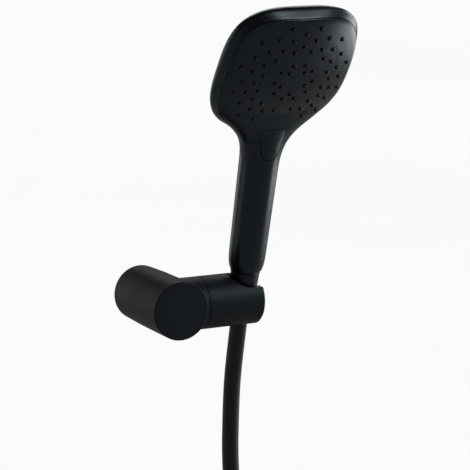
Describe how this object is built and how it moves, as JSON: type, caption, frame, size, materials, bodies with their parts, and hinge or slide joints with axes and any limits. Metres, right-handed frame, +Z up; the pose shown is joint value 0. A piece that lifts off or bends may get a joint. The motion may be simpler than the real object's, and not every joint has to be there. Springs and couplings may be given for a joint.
{
  "type": "handheld shower head",
  "caption": "Handheld shower head with a soft-square spray face and a push button, standing in a tilting wall holder, with its hose wound up below.",
  "frame": {"origin": "centre of the bracket's wall face", "axes": "+Y into the wall, +X along the holder arm, +Z up"},
  "size_m": [0.189, 0.1688, 0.6252],
  "materials": {
    "bracket_plastic": "fine matt black",
    "handset_plastic": "satin black",
    "face_plastic": "satin black",
    "nozzle_silicone": "soft black",
    "hose_sheath": "smooth matt black",
    "nut_finish": "matt black coat",
    "inner_plastic": "moulded grey",
    "brass": "turned",
    "steel": "bright",
    "seal_rubber": "soft",
    "tie_strap": "matt"
  },
  "bodies": {
    "wall_bracket": {"bracket_body": "bracket_plastic", "wall_hub": "inner_plastic", "grub_screw": "steel", "pivot_bush": "inner_plastic"},
    "holder_arm": {"holder_arm": "bracket_plastic", "socket_liner": "inner_plastic", "friction_ring": "seal_rubber", "wave_washer": "steel", "retaining_clip": "steel"},
    "hose_head": {"upper_ferrule": "brass", "hose_upper": "hose_sheath"},
    "handset": {"handset_shell": "handset_plastic", "face_plate": "face_plastic", "nozzle_mat": "nozzle_silicone", "centre_insert": "nozzle_silicone", "jet_disc": "inner_plastic", "chamber_ring": "inner_plastic", "face_gasket": "seal_rubber", "plate_screws": "steel", "valve_body": "inner_plastic", "head_duct": "inner_plastic", "duct_seal": "seal_rubber", "water_tube": "inner_plastic", "tube_seals": "seal_rubber", "inlet_spigot": "nut_finish", "spigot_seal": "seal_rubber", "check_valve": "inner_plastic", "flow_disc": "inner_plastic", "filter_washer": "seal_rubber", "cone_nut": "nut_finish"},
    "spray_button": {"spray_button": "handset_plastic", "button_plunger": "inner_plastic", "button_spring": "steel"},
    "selector_rotor": {"selector_rotor": "inner_plastic"},
    "hose_hang": {"hose_lower": "hose_sheath", "hose_coil": "hose_sheath", "hose_tail": "hose_sheath", "coil_ties": "tie_strap", "lower_ferrule": "brass"},
    "outlet_nut": {"outlet_nut": "nut_finish", "outlet_washer": "seal_rubber"}
  },
  "joints": [
    {"name": "arm_tilt", "type": "hinge", "parent": "wall_bracket", "child": "holder_arm", "pos_m": [0.04, -0.0589, 0], "axis": [1, 0, 0], "range_deg": [-10, 26]},
    {"name": "lift_out", "type": "slide", "parent": "holder_arm", "child": "hose_head", "axis": [0, -0.2436, 0.9699], "range_m": [0, 0.03]},
    {"name": "handset_turn", "type": "hinge", "parent": "hose_head", "child": "handset", "pos_m": [0.0659, -0.06255, 0.01455], "axis": [0, -0.2436, 0.9699], "continuous": true},
    {"name": "button_press", "type": "slide", "parent": "handset", "child": "spray_button", "axis": [0, 0.9699, 0.2436], "range_m": [0, 0.002], "stiffness_N_per_m": 2000, "springref_m": -0.001},
    {"name": "rotor_turn", "type": "hinge", "parent": "handset", "child": "selector_rotor", "pos_m": [0.0659, -0.09301, 0.13578], "axis": [0, 0.9699, 0.2436], "range_deg": [-0.5, 60.5]},
    {"name": "hose_hang", "type": "hinge", "parent": "hose_head", "child": "hose_hang", "pos_m": [0.0659, -0.04082, -0.07197], "axis": [1, 0, 0], "range_deg": [-26.5, 10.5]},
    {"name": "outlet_spin", "type": "hinge", "parent": "hose_hang", "child": "outlet_nut", "pos_m": [0.1375, -0.069, -0.3526], "axis": [0, 0, -1], "continuous": true}
  ],
  "couplings": [
    {"joint": "rotor_turn", "follows": "button_press", "rad_per_m": 523.6},
    {"joint": "hose_hang", "follows": "arm_tilt", "ratio": -1}
  ]
}
